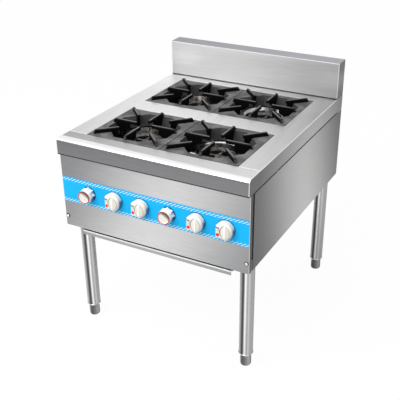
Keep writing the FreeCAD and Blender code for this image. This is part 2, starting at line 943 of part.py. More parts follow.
# Pilot line: small tube from a pilot valve along one pair of burners, with a jet at each
def pilot_line(name, burner_side):
    valve_x = knob_x[name]
    x = burner_side * burner_x - pilot_tip_offset
    start_y = valve_outlet_y + pilot_run_in
    route = [
        point(valve_x, valve_outlet_y, feed_start_z),
        point(valve_x, valve_outlet_y, pilot_line_height),
        point(x, start_y, pilot_line_height),
        point(x, rear_row_y, pilot_line_height),
    ]
    line = bent_rod(route, pilot_line_radius, pilot_bend)
    for row_y in (front_row_y, rear_row_y):
        foot_point = point(x, row_y, pilot_line_height - pilot_tip_radius)
        line = line.fuse(rod(pilot_tip_radius, foot_point, point(x, row_y, pilot_tip_height)))
    return line


# Grate: cast square with a rim, an eight-sided funnel and eight raised fingers
def grate(x, y):
    half = grate_size / 2
    low = ledge_z
    top = worktop_height
    foot_z = top - funnel_depth

    def octagon(apothem, z):
        radius = apothem / math.cos(math.pi / funnel_sides)
        outline = []
        for side in range(funnel_sides):
            angle = (2 * side + 1) * math.pi / funnel_sides
            outline.append(point(radius * math.cos(angle), radius * math.sin(angle), z))
        return Part.makePolygon(outline + [outline[0]])

    def funnel(extra):
        return Part.makeLoft(
            [octagon(funnel_foot_apothem + extra, foot_z), octagon(funnel_top_apothem + extra, top)], True
        )

    inset = half - grate_rim
    square = block(-half, half, -half, half, low, top)
    relief = block(-inset, inset, -inset, inset, low, top - grate_plate)
    casting = square.cut(relief).fuse(funnel(funnel_wall))

    def finger(inner, knee, outer):
        """Upright web along +X: level top, a thin tip, and a gusset from the knee to the funnel wall."""
        crest = top + finger_rise
        outline = [
            point(inner, 0, crest),
            point(outer - finger_slope, 0, crest),
            point(outer, 0, top),
            point(outer, 0, top - grate_plate),
            point(funnel_top_apothem, 0, top - grate_plate),
            point(funnel_foot_apothem + funnel_wall / 2, 0, foot_z),
            point(knee, 0, crest - gusset_depth),
            point(knee, 0, crest - finger_tip),
            point(inner, 0, crest - finger_tip),
        ]
        web = plate(outline, point(0, finger_width, 0))
        web.translate(point(0, -finger_width / 2, 0))

        def is_crest_edge(box):
            return box.ZMin > crest - finger_bevel

        edges = [edge for edge in web.Edges if is_crest_edge(edge.BoundBox)]
        return web.makeChamfer(finger_bevel, edges)

    casting = casting.cut(funnel(0))
    for number in range(funnel_sides):
        if number % 2 == 0:
            web = finger(side_finger_inner, side_finger_knee, side_finger_outer)
        else:
            web = finger(corner_finger_inner, corner_finger_knee, corner_finger_outer)
        web.rotate(point(0, 0, 0), point(0, 0, 1), 360 * number / funnel_sides)
        casting = casting.fuse(web)
    casting = casting.removeSplitter()
    casting.translate(point(x, y, 0))
    return casting


os.makedirs("parts", exist_ok=True)

save("front_rail", front_rail())
save("top_sheet", top_sheet())
save("backsplash", backsplash())
save("front_panel", front_panel())
save("left_side_panel", mirrored(right_side_panel()))
save("right_side_panel", right_side_panel())
save("rear_panel", rear_panel())
save("control_strip", control_strip())
save("panel_screws", *panel_screws())
save("base_frame", base_frame())
save("corner_posts", *corner_posts())
save("burner_rails", *burner_rails())
save("burner_support_bars", *burner_support_bars())
save("leg_sockets", *leg_sockets())
save("foot_collars", *foot_collars())
for corner, (x, y) in corners.items():
    save("leg_" + corner, leg(x, y))
    save("foot_" + corner, foot(x, y))
save("drip_tray", drip_tray())
save("tray_runners", *tray_runners())
save("gas_manifold", gas_manifold())
save("gas_inlet_pipe", gas_inlet_pipe())
save("manifold_brackets", *manifold_brackets())
for burner, (x, y) in burners.items():
    save("burner_valve_" + burner, gas_valve(knob_x[burner], burner_valve_radius))
    save("burner_stem_" + burner, valve_stem(knob_x[burner]))
    save("burner_knob_" + burner, burner_knob(knob_x[burner]))
    save("burner_body_" + burner, burner_body(x, y))
    save("grate_" + burner, grate(x, y))
for side in ("left", "right"):
    pilot_x = knob_x["pilot_" + side]
    save("pilot_valve_" + side, gas_valve(pilot_x, pilot_valve_radius))
    save("pilot_stem_" + side, valve_stem(pilot_x))
    save("pilot_knob_" + side, pilot_knob(pilot_x))
save("burner_heads", *[burner_head(x, y) for x, y in burners.values()])
save("burner_rings", *[burner_ring(x, y) for x, y in burners.values()])
save("injectors", *[injector(x, y) for x, y in burners.values()])
save("burner_feed_tubes", *[feed_tube(name) for name in burners])
save("pilot_lines", pilot_line("pilot_left", -1), pilot_line("pilot_right", 1))
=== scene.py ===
import json
import math

import bmesh
import bpy
from mathutils import Matrix, Vector

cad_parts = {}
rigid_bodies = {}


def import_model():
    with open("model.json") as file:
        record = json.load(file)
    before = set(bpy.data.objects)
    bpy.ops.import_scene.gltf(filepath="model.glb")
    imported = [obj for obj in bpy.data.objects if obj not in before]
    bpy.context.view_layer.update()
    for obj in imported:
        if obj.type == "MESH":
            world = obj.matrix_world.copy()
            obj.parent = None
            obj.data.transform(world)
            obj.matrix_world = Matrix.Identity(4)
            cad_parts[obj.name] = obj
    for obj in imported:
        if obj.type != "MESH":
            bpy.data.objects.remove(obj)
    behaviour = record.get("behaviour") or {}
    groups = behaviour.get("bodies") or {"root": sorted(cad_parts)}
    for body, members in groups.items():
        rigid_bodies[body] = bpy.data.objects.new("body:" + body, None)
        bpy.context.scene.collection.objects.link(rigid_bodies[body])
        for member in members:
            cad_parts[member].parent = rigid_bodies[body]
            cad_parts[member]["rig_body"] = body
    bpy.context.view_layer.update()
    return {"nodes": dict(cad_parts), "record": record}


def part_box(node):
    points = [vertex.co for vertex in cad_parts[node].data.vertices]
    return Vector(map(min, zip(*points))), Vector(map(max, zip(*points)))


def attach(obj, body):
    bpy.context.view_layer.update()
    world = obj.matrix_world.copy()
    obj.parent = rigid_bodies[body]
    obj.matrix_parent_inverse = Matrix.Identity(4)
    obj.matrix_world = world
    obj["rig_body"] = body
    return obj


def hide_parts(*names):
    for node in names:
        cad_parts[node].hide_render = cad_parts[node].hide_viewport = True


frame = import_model()


# Welded frame: a ring of steel angle on leg plates, with posts, rails and flat bars for the burners.
# Hot-rolled steel, sawn and arc welded, then sprayed with one coat of grey primer.
class Term:
    """One output of a node tree, so that plain sums on it add Math nodes."""

    def __init__(self, graph, socket):
        self.graph = graph
        self.socket = socket

    def maths(self, operation, first, second):
        return self.graph.node("ShaderNodeMath", {"operation": operation}, {0: first, 1: second})

    def __add__(self, other):
        return self.maths("ADD", self, other)

    def __sub__(self, other):
        return self.maths("SUBTRACT", self, other)

    def __rsub__(self, other):
        return self.maths("SUBTRACT", other, self)

    def __mul__(self, other):
        return self.maths("MULTIPLY", self, other)

    def __truediv__(self, other):
        return self.maths("DIVIDE", self, other)

    __radd__ = __add__
    __rmul__ = __mul__


class Graph:
    """A node tree whose nodes all come from one method."""

    def __init__(self, tree):
        self.tree = tree

    def node(self, kind, settings=None, values=None, output=0):
        """Add a node, make its settings, fill its sockets and give one of its outputs back."""
        made = self.tree.nodes.new(kind)
        for name, setting in (settings or {}).items():
            if name == "stops":
                self.grade(made.color_ramp.elements, setting)
            else:
                setattr(made, name, setting)
        for name, value in (values or {}).items():
            self.fill(made.inputs[name], value)
        return Term(self, made.outputs[output]) if made.outputs else None

    def grade(self, steps, stops):
        """Set a ramp's greys from pairs of a place and its tone."""
        while len(steps) < len(stops):
            steps.new(1.0)
        for step, (place, tone) in zip(steps, stops):
            step.position = place
            step.color = grey(tone)

    def fill(self, socket, value):
        if isinstance(value, Term):
            self.tree.links.new(value.socket, socket)
        else:
            socket.default_value = value

    def mix(self, mask, first, second):
        """The first colour where the mask is 0 and the second where it is 1."""
        return self.node("ShaderNodeMix", {"data_type": "RGBA"}, {0: mask, 6: first, 7: second}, 2)


class Finish(Graph):
    """A surface finish, painted in metres from the piece's own origin."""

    def __init__(self, name):
        self.material = bpy.data.materials.new(name)
        self.material.use_nodes = True
        super().__init__(self.material.node_tree)
        self.place = self.node("ShaderNodeTexCoord", output="Object")

    def surface(self, values):
        principled = self.tree.nodes["Principled BSDF"]
        for name, value in values.items():
            self.fill(principled.inputs[name], value)

    def axis(self, letter):
        return self.node("ShaderNodeSeparateXYZ", values={"Vector": self.place}, output=letter)

    def noise(self, cycles, detail=3.0):
        """Cloudy value round one half, with its own cycles per metre along X, Y and Z."""
        mapped = self.node("ShaderNodeMapping", values={"Vector": self.place, "Scale": cycles})
        return self.node("ShaderNodeTexNoise", values={"Vector": mapped, "Scale": 1.0, "Detail": detail})

    def facing(self, letter):
        """How far the surface faces along an axis, from -1 to 1."""
        normal = self.node("ShaderNodeTexCoord", output="Normal")
        return self.node("ShaderNodeSeparateXYZ", values={"Vector": normal}, output=letter)

    def size_of(self, value):
        return self.node("ShaderNodeMath", {"operation": "ABSOLUTE"}, {0: value})

    def either(self, first, second):
        """1 where one mask or both are 1."""
        return first + second - first * second

    def rise(self, value, low, high):
        """0 below low, 1 above high, and a smooth rise between them."""
        return self.node(
            "ShaderNodeMapRange",
            {"interpolation_type": "SMOOTHSTEP"},
            {"Value": value, "From Min": low, "From Max": high},
        )

    def scaled(self, tone, factor):
        return self.node("ShaderNodeVectorMath", {"operation": "SCALE"}, {0: tone, "Scale": factor})

    def relief(self, height, depth):
        return self.node("ShaderNodeBump", values={"Height": height, "Distance": depth})


def colour(red, green, blue):
    return (red, green, blue, 1.0)


def grey(tone):
    return colour(tone, tone, tone)


def settled(piece):
    """Turn a piece with its modifiers into a plain mesh."""
    depsgraph = bpy.context.evaluated_depsgraph_get()
    mesh = bpy.data.meshes.new_from_object(piece.evaluated_get(depsgraph), depsgraph=depsgraph)
    piece.modifiers.clear()
    piece.data = mesh


def smooth(mesh, crease):
    """Shade curves smooth and keep the edges that turn by more than the crease, in degrees."""
    mesh.shade_smooth()
    mesh.set_sharp_from_angle(angle=math.radians(crease))


def placed(name, mesh):
    piece = bpy.data.objects.new(name, mesh)
    bpy.context.scene.collection.objects.link(piece)
    return piece


def finished(node, finish, edge=0.0, crease=35.0):
    """A copy of a bare solid as one welded skin with broken edges, standing in for the solid."""
    weld = 0.00001
    flat = math.radians(0.5)
    bare = frame["nodes"][node]
    shape = bmesh.new()
    shape.from_mesh(bare.data)
    bmesh.ops.remove_doubles(shape, verts=shape.verts, dist=weld)
    bmesh.ops.dissolve_limit(shape, angle_limit=flat, verts=shape.verts, edges=shape.edges)
    mesh = bpy.data.meshes.new("finished_" + node)
    shape.to_mesh(mesh)
    shape.free()
    smooth(mesh, crease)
    piece = placed("finished_" + node, mesh)
    if edge:
        bevel = piece.modifiers.new("broken_edge", "BEVEL")
        bevel.width = edge
        bevel.segments = 2
        bevel.limit_method = "ANGLE"
        bevel.angle_limit = math.radians(crease)
        bevel.harden_normals = True
        settled(piece)
    piece.data.materials.clear()
    piece.data.materials.append(finish.material)
    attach(piece, bare["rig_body"])
    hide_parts(node)
    return piece


def primed_steel():
    """Grey primer, thin over the scale of the rolled steel, with pale scuffs."""
    finish = Finish("primed_steel")
    scale = finish.noise((70, 70, 70), 4)
    scuff = finish.rise(finish.noise((14, 14, 14), 5), 0.58, 0.70)
    thin_coat = finish.mix(scale, colour(0.10, 0.105, 0.11), colour(0.19, 0.195, 0.20))
    finish.surface({
        "Base Color": finish.mix(scuff, thin_coat, grey(0.30)),
        "Metallic": 0.2,
        "Roughness": 0.45 + 0.2 * scale,
        "Normal": finish.relief(scale, 0.0003),
    })
    return finish


primer = primed_steel()
for node in (
    "base_frame", "corner_posts", "burner_rails", "burner_support_bars", "leg_sockets", "manifold_brackets",
):
    finished(node, primer, 0.0006)


# Legs: four plain round tubes pushed over the frame's spigots.
# Welded stainless tube, drawn and polished lengthwise, with bright and dark bands of reflection painted
# down it at each leg's turn.
def painted_reflection_metal(name, turn, reflection_bands, metallic, roughness):
    """Metal with bands of reflection painted on, the same three times round its girth, from a turn in
    degrees.
    """
    finish = Finish(name)
    third = math.tau / 3
    around = finish.node(
        "ShaderNodeMath", {"operation": "ARCTAN2"}, {0: finish.facing("Y"), 1: finish.facing("X")}
    )
    share = finish.node(
        "ShaderNodeMath", {"operation": "WRAP"}, {0: (around - math.radians(turn)) / third, 1: 1.0, 2: 0.0}
    )
    # The ramp paints bright and dark bands of reflection round the girth.
    tone = finish.node("ShaderNodeValToRGB", {"stops": reflection_bands}, {"Fac": share})
    rings = finish.noise((30, 30, 1500), 2)
    marks = finish.noise((160, 160, 5), 3)
    finish.surface({
        "Base Color": finish.scaled(tone, 0.9 + 0.2 * marks),
        "Metallic": metallic,
        "Roughness": roughness + 0.08 * rings + 0.06 * marks,
        "Normal": finish.relief(rings, 0.00002),
    })
    return finish


leg_reflection_bands = (
    (0.00, 0.46), (0.13, 0.22), (0.21, 0.07), (0.29, 0.07), (0.36, 0.42), (0.42, 0.97),
    (0.47, 0.76), (0.54, 0.37), (0.59, 0.38), (0.66, 0.60), (0.78, 0.39), (0.95, 0.37), (1.00, 0.46),
)
leg_reflection_turns = {"front_left": -110, "front_right": -130, "rear_left": 28, "rear_right": -136}
for corner, turn in leg_reflection_turns.items():
    tube = painted_reflection_metal("polished_tube_" + corner, turn, leg_reflection_bands, 1.0, 0.16)
    finished("leg_" + corner, tube, 0.0004)


# Foot collars and levelling feet: a plug with a lip in each leg's end, and a turned foot on a thread.
# The collar is bright turned stainless; the foot is satin turned steel on a zinc-plated stud; both have
# bands of reflection painted on.
def zinc_plate():
    finish = Finish("zinc_plate")
    bloom = finish.noise((220, 220, 220), 4)
    finish.surface({
        "Base Color": finish.mix(bloom, colour(0.42, 0.43, 0.44), colour(0.60, 0.61, 0.62)),
        "Metallic": 1.0,
        "Roughness": 0.30 + 0.18 * bloom,
        "Normal": finish.relief(bloom, 0.00008),
    })
    return finish


def lathe(profile, steps):
    """Closed skin turned about Z from (radius, height) pairs that start and end on the axis."""
    weld = 0.000001
    shape = bmesh.new()
    rail = [shape.verts.new((radius, 0, height)) for radius, height in profile]
    edges = [shape.edges.new(pair) for pair in zip(rail, rail[1:])]
    bmesh.ops.spin(
        shape,
        geom=rail + edges,
        cent=(0, 0, 0),
        axis=(0, 0, 1),
        angle=math.tau,
        steps=steps,
        use_merge=True,
    )
    bmesh.ops.remove_doubles(shape, verts=shape.verts, dist=weld)
    bmesh.ops.recalc_face_normals(shape, faces=shape.faces)
    return shape


def levelling_foot(corner, boot, stud):
    """Boot with a waist groove, and a stud whose thread shows when the foot is screwed out."""
    low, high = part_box("foot_" + corner)
    centre = (low + high) / 2
    radius = (high.x - low.x) / 2
    boot_top = 0.048
    stud_radius = 0.008
    thread_pitch = 0.002
    thread_depth = 0.0009
    bevel = 0.006
    rim = 0.001
    groove_low = boot_top - 0.0065
    groove_high = boot_top - 0.0035
    groove_flank = 0.001
    groove_radius = radius - 0.0012
    profile = [
        (0, 0),
        (radius - bevel, 0),
        (radius - 0.3 * bevel, 0.3 * bevel),
        (radius, bevel),
        (radius, groove_low),
        (groove_radius, groove_low + groove_flank),
        (groove_radius, groove_high - groove_flank),
        (radius, groove_high),
        (radius, boot_top - rim),
        (radius - rim, boot_top),
        (stud_radius, boot_top),
    ]
    ridges = int((high.z - boot_top) / thread_pitch) - 1
    for ridge in range(ridges):
        height = boot_top + (ridge + 0.25) * thread_pitch
        profile.append((stud_radius - thread_depth, height))
        profile.append((stud_radius, height + thread_pitch / 2))
    profile += [(stud_radius - 2 * thread_depth, high.z), (0, high.z)]
    shape = lathe(profile, 40)
    mesh = bpy.data.meshes.new("levelling_" + corner)
    for face in shape.faces:
        face.material_index = int(face.calc_center_median().z > boot_top)
    shape.to_mesh(mesh)
    shape.free()
    mesh.transform(Matrix.Translation((centre.x, centre.y, low.z)))
    smooth(mesh, 30)
    mesh.materials.append(boot.material)
    mesh.materials.append(stud.material)
    piece = placed("levelling_foot_" + corner, mesh)
    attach(piece, "foot_" + corner)
    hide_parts("foot_" + corner)


corners = tuple(leg_reflection_turns)
collar_reflection_bands = (
    (0.00, 0.26), (0.12, 0.70), (0.30, 0.97), (0.50, 0.58), (0.75, 0.97), (0.90, 0.70), (1.00, 0.26),
)
finished("foot_collars", painted_reflection_metal("turned_collar", -155, collar_reflection_bands, 1.0, 0.14), 0.0004)
foot_reflection_bands = ((0.00, 0.30), (0.10, 0.10), (0.30, 0.11), (0.55, 0.22), (0.80, 0.42), (1.00, 0.30))
zinc = zinc_plate()
for corner in corners:
    boot = painted_reflection_metal("satin_foot_" + corner, leg_reflection_turns[corner], foot_reflection_bands, 0.8, 0.34)
    levelling_foot(corner, boot, zinc)


# Side, rear and front panels: plain sides, a rear sheet set in from the back, and a folded front pan.
# Stainless sheet with a long brushed grain, and a broad pale sheen painted across each sheet.
class Brushed(Finish):
    """Stainless with a brushed grain along one axis."""

    def sheen(self, slope, centre, reach, dull, bright):
        """Painted sheen: a tone that is bright on a line across the sheet and dull beyond its reach."""
        along = self.node(
            "ShaderNodeVectorMath", {"operation": "DOT_PRODUCT"}, {0: self.place, 1: slope}, "Value"
        )
        distance = self.size_of(along - centre)
        return self.mix(self.rise(distance, 0.0, reach), bright, dull)

    def brush(self, grain, tone, roughness, metallic=1.0):
        """Lay fine lines and faint bands along the grain over a tone."""

        def lines(along, across, detail):
            return self.noise([along if letter == grain else across for letter in "XYZ"], detail)

        fine = lines(7, 1300, 2)
        band = lines(12, 240, 2)
        haze = self.noise((3.5, 3.5, 3.5), 2)
        streak = 0.5 * fine + 0.5 * band
        self.surface({
            "Base Color": self.scaled(tone, 0.78 + 0.44 * streak),
            "Metallic": metallic,
            "Roughness": roughness + 0.12 * (fine - 0.5) + 0.06 * (haze - 0.5),
            "Normal": self.relief(fine, 0.00004),
        })


def side_steel():
    finish = Brushed("side_steel")
    finish.brush("Y", finish.sheen((0, 1, 0.24), 0.184, 0.44, side_dull, side_bright), 0.42)
    return finish


def front_steel():
    """Painted sheen palest across its middle, returns painted dark as shade, and a painted highlight along
    the folds at both ends.
    """
    finish = Brushed("front_steel")
    half_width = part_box("front_panel")[1].x
    tone = finish.sheen((1, 0, -0.41), -0.193, 0.42, colour(0.295, 0.297, 0.302), grey(0.655))
    fold_highlight = finish.rise(finish.size_of(finish.axis("X")), half_width - 0.0028, half_width - 0.0012)
    on_return = finish.rise(finish.size_of(finish.facing("X")), 0.5, 0.9)
    # The returns are painted dark as shade and the folds carry a painted highlight.
    tone = finish.mix(fold_highlight, tone, grey(0.85))
    finish.brush("X", finish.mix(on_return, tone, grey(0.09)), 0.42)
    return finish


def plain_steel():
    finish = Brushed("plain_steel")
    finish.brush("X", finish.sheen((1, 0, 0), 0.0, 0.55, colour(0.48, 0.48, 0.485), grey(0.68)), 0.42)
    return finish


fold = 0.0005
side_dull = grey(0.150)
side_bright = colour(0.605, 0.605, 0.597)
steel_side = side_steel()
steel_plain = plain_steel()
finished("left_side_panel", steel_side, fold)
finished("right_side_panel", steel_side, fold)
finished("rear_panel", steel_plain, fold)
finished("front_panel", front_steel(), fold)


# Panel screws: cross-recessed pan heads at the front panel's lower corners and down the rear panel's sides.
# Polished stainless on a black washer that stands in for the shadow round each head, driven into the frame
# and left at whatever angle they stopped.
def polished_screw(shadow_washer_height):
    """Bright above the washer, black on the washer as painted shadow, and painted dark as shade up the
    flank on the right.
    """
    finish = Finish("polished_screw")
    panel_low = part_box("front_panel")[0]
    rear_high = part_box("rear_panel")[1]
    wear = finish.noise((500, 500, 500), 3)
    head_start = shadow_washer_height + 0.0002
    y = finish.axis("Y")
    before = finish.rise(panel_low.y - y, shadow_washer_height, head_start)
    behind = finish.rise(y - rear_high.y, shadow_washer_height, head_start)
    bright = finish.mix(wear, grey(0.86), grey(0.98))
    # The right flank of the dome is painted dark as shade.
    bright = finish.mix(finish.rise(finish.facing("X"), 0.45, 0.70), bright, grey(0.05))
    finish.surface({
        "Base Color": finish.mix(before + behind, grey(0.02), bright),
        "Metallic": 1.0,
        "Roughness": 0.12 + 0.12 * wear,
        "Normal": finish.relief(wear, 0.00004),
    })
    return finish


def screw_head(shadow_washer_height):
    """One pan head facing +Z at the origin on a black washer that stands in for its shadow, with four
    recess arms sunk in its dome.
    """
    radius = 0.0052
    shadow_washer_radius = 1.45 * radius
    height = 0.0030
    arm = 0.0026
    slot = 0.0007
    sunk = 0.0014
    dome = []
    rings = 6
    for ring in range(rings + 1):
        turn = ring / rings * math.pi / 2
        dome.append((radius * math.cos(turn), height / 2 + height / 2 * math.sin(turn)))
    shadow_washer = [(0, 0), (shadow_washer_radius, 0), (shadow_washer_radius, shadow_washer_height), (radius, shadow_washer_height)]
    shape = lathe(shadow_washer + dome[:-1] + [(0, height)], 32)
    head = bpy.data.meshes.new("screw_head")
    shape.to_mesh(head)
    shape.free()
    piece = placed("screw_head", head)
    cutter_shape = bmesh.new()
    for long_x, long_y in ((arm, slot), (slot, arm)):
        size = Matrix.Diagonal((2 * long_x, 2 * long_y, 2 * sunk, 1))
        bmesh.ops.create_cube(cutter_shape, size=1, matrix=Matrix.Translation((0, 0, height)) @ size)
    cutter_mesh = bpy.data.meshes.new("screw_recess")
    cutter_shape.to_mesh(cutter_mesh)
    cutter_shape.free()
    cutter = placed("screw_recess", cutter_mesh)
    cut = piece.modifiers.new("recess", "BOOLEAN")
    cut.object = cutter
    cut.solver = "EXACT"
    cut.use_self = True
    settled(piece)
    smooth(piece.data, 35)
    bpy.data.objects.remove(cutter)
    return piece


class Repeat(Graph):
    """A geometry tree with named inputs, which ends in Realize Instances and Set Material."""

    def __init__(self, name):
        super().__init__(bpy.data.node_groups.new(name, "GeometryNodeTree"))
        self.tree.interface.new_socket("Geometry", in_out="OUTPUT", socket_type="NodeSocketGeometry")
        self.entry = self.tree.nodes.new("NodeGroupInput")
        self.identifiers = {}

    def size(self, name, kind):
        """A named input of the tree."""
        socket = self.tree.interface.new_socket(name, in_out="INPUT", socket_type="NodeSocket" + kind)
        self.identifiers[name] = socket.identifier
        return Term(self, self.entry.outputs[name])

    def close(self, instances):
        real = self.node("GeometryNodeRealizeInstances", values={"Geometry": instances})
        finish = self.size("Finish", "Material")
        skin = self.node("GeometryNodeSetMaterial", values={"Geometry": real, "Material": finish})
        self.node("NodeGroupOutput", values={"Geometry": skin})

    def made(self, name, mesh, inputs):
        """Run the tree on a mesh with these inputs, and give a plain piece back."""
        piece = placed(name, mesh)
        modifier = piece.modifiers.new("repeat", "NODES")
        modifier.node_group = self.tree
        for label, value in inputs.items():
            modifier[self.identifiers[label]] = value
        settled(piece)
        return piece


def screws_on_places():
    """Heads on a mesh of points, turned to face one way and spun about their own axis at random."""
    repeat = Repeat("screws_on_places")
    places = repeat.size("Places", "Geometry")
    head = repeat.size("Head", "Object")
    facing = repeat.size("Facing", "Rotation")
    seed = repeat.size("Seed", "Int")
    spin = repeat.node(
        "FunctionNodeRandomValue", {"data_type": "FLOAT"}, {"Min": 0.0, "Max": math.pi / 2, "Seed": seed}, 1
    )
    about_axis = repeat.node("ShaderNodeCombineXYZ", values={"Z": spin})
    turn = repeat.node("FunctionNodeEulerToRotation", values={0: about_axis})
    turned = repeat.node(
        "FunctionNodeRotateRotation", {"rotation_space": "LOCAL"}, {"Rotation": facing, "Rotate By": turn}
    )
    shape = repeat.node("GeometryNodeObjectInfo", values={"Object": head}, output="Geometry")
    repeat.close(repeat.node(
        "GeometryNodeInstanceOnPoints", values={"Points": places, "Instance": shape, "Rotation": turned}
    ))
    return repeat


def row_of_screws(tree, name, places, facing, head, finish):
    points = bpy.data.meshes.new(name)
    points.from_pydata(places, [], [])
    piece = tree.made(name, points, {
        "Head": head, "Facing": facing, "Seed": spin_seed, "Finish": finish.material,
    })
    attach(piece, "cabinet")
    return piece


shadow_washer_height = 0.0006
spin_seed = 7
screw_tree = screws_on_places()
head = screw_head(shadow_washer_height)
bright_screw = polished_screw(shadow_washer_height)
quarter = math.pi / 2
seat_low, seat_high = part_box("panel_screws")
panel_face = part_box("front_panel")[0].y
screw_z = (seat_low.z + seat_high.z) / 2
screw_radius = (seat_high.z - seat_low.z) / 2
front_places = [
    (x, panel_face, screw_z) for x in (seat_low.x + screw_radius, seat_high.x - screw_radius)
]
front_screws = row_of_screws(screw_tree, "front_screws", front_places, (quarter, 0, 0), head, bright_screw)
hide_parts("panel_screws")
rear_low, rear_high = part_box("rear_panel")
rear_inset = 0.018
rear_places = []
for x in (rear_low.x + rear_inset, rear_high.x - rear_inset):
    for share in (0.08, 0.36, 0.64, 0.92):
        rear_places.append((x, rear_high.y, rear_low.z + share * (rear_high.z - rear_low.z)))
row_of_screws(screw_tree, "rear_screws", rear_places, (-quarter, 0, 0), head, bright_screw)
bpy.data.objects.remove(head)


# Gas train: manifold, inlet, valves, stems, jets and tubes, hung on brackets behind the front panel.
# Galvanised pipe with a cut thread at the inlet; turned brass valves and jets; drawn feed tubes.
def turned_brass():
    finish = Finish("turned_brass")
    tarnish = finish.noise((60, 60, 60), 4)
    tool = finish.noise((40, 900, 40), 2)
    finish.surface({
        "Base Color": finish.mix(tarnish, colour(0.36, 0.23, 0.08), colour(0.62, 0.44, 0.17)),
        "Metallic": 1.0,
        "Roughness": 0.24 + 0.22 * tarnish,
        "Normal": finish.relief(tool, 0.00004),
    })
    return finish


def galvanised_pipe():
    """Hot-dipped zinc with its crystal flakes."""
    finish = Finish("galvanised_pipe")
    flakes = finish.node(
        "ShaderNodeTexVoronoi", values={"Vector": finish.place, "Scale": 120.0}, output="Color"
    )
    tone = finish.node("ShaderNodeSeparateColor", values={"Color": flakes})
    finish.surface({
        "Base Color": finish.mix(tone, colour(0.34, 0.35, 0.36), colour(0.52, 0.53, 0.54)),
        "Metallic": 0.85,
        "Roughness": 0.34 + 0.2 * tone,
    })
    return finish


brass = turned_brass()
galvanised = galvanised_pipe()
for node in ("gas_manifold", "gas_inlet_pipe", "burner_feed_tubes", "pilot_lines"):
    finished(node, galvanised)
finished("injectors", brass, 0.0003)
burner_names = ("front_left", "front_right", "rear_left", "rear_right")
sides = ("left", "right")
for burner in burner_names:
    finished("burner_valve_" + burner, brass, 0.0004)
    finished("burner_stem_" + burner, brass, 0.0003)
for side in sides:
    finished("pilot_valve_" + side, brass, 0.0004)
    finished("pilot_stem_" + side, brass, 0.0003)


def thread_ridges():
    """Ridges one pitch apart along +Y, each a thin ring with a sharp crest."""
    repeat = Repeat("thread_ridges")
    start = repeat.size("Start", "Geometry")
    count = repeat.size("Ridges", "Int")
    pitch = repeat.size("Pitch", "Float")
    crest = repeat.size("Crest Radius", "Float")
    step = repeat.node("ShaderNodeCombineXYZ", values={"Y": pitch})
    line = repeat.node("GeometryNodeMeshLine", {"mode": "OFFSET"}, {"Count": count, "Offset": step})
    flank = 0.4 * pitch
    girth = repeat.node(
        "GeometryNodeCurvePrimitiveCircle", values={"Resolution": 40, "Radius": crest - flank}
    )
    section = repeat.node("GeometryNodeCurvePrimitiveCircle", values={"Resolution": 4, "Radius": flank})
    ridge = repeat.node("GeometryNodeCurveToMesh", values={"Curve": girth, "Profile Curve": section})
    upright = repeat.node("FunctionNodeEulerToRotation", values={0: (quarter, 0, 0)})
    row = repeat.node(
        "GeometryNodeInstanceOnPoints", values={"Points": line, "Instance": ridge, "Rotation": upright}
    )
    repeat.close(repeat.node("GeometryNodeInstanceOnPoints", values={"Points": start, "Instance": row}))
    return repeat


inlet = next(mount for mount in frame["record"]["mounts"] if mount["name"] == "gas_inlet")
thread_length = inlet["dims"]["length_mm"] / 1000
thread_crest = inlet["dims"]["r_mm"] / 1000 + 0.0002
thread_pitch = 0.00181
thread_start = Vector(inlet["pos_m"]) - Vector((0, thread_length / 2 - thread_pitch, 0))
thread_point = bpy.data.meshes.new("inlet_thread")
thread_point.from_pydata([thread_start], [], [])
thread = thread_ridges().made("inlet_thread", thread_point, {
    "Ridges": int(thread_length / thread_pitch) - 1,
    "Pitch": thread_pitch,
    "Crest Radius": thread_crest,
    "Finish": galvanised.material,
})
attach(thread, "cabinet")


# Control strip: a thin plate across the front panel with a printed border along both long edges.
# Gloss blue print on plastic film; the border is a plain row of slanted pale dashes.
def knob_axis(node):
    """Middle of a knob's back face, from its round box."""
    low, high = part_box(node)
    return Vector(((low.x + high.x) / 2, high.y, (low.z + high.z) / 2))


class ByKnob(Finish):
    """A finish whose marks are placed from the axis of the nearest knob in the row."""

    def __init__(self, name):
        super().__init__(name)
        first = knob_axis("pilot_knob_left")
        pitch = knob_axis("burner_knob_front_left").x - first.x
        along = (self.axis("X") - first.x) / pitch
        nearest = self.node("ShaderNodeMath", {"operation": "ROUND"}, {0: along})
        number = self.node("ShaderNodeClamp", values={"Value": nearest, "Max": float(knob_count - 1)})
        in_group = self.node("ShaderNodeMath", {"operation": "MODULO"}, {0: number, 1: knob_count / 2})
        self.lobed = 1 - self.node("ShaderNodeClamp", values={"Value": in_group})
        self.right = pitch * (along - number)
        self.above = self.axis("Z") - first.z
        self.depth = first.y - self.axis("Y")

    def band(self, value, low, high):
        """1 between two limits and 0 beyond them."""
        soft = 0.0004
        return self.rise(value, low - soft, low + soft) * (1 - self.rise(value, high - soft, high + soft))

    def distance(self, right, above):
        """Metres from a line along the knob's axis, to the right of it and above it."""
        across = self.right - right
        up = self.above - above
        return self.node("ShaderNodeMath", {"operation": "SQRT"}, {0: across * across + up * up})


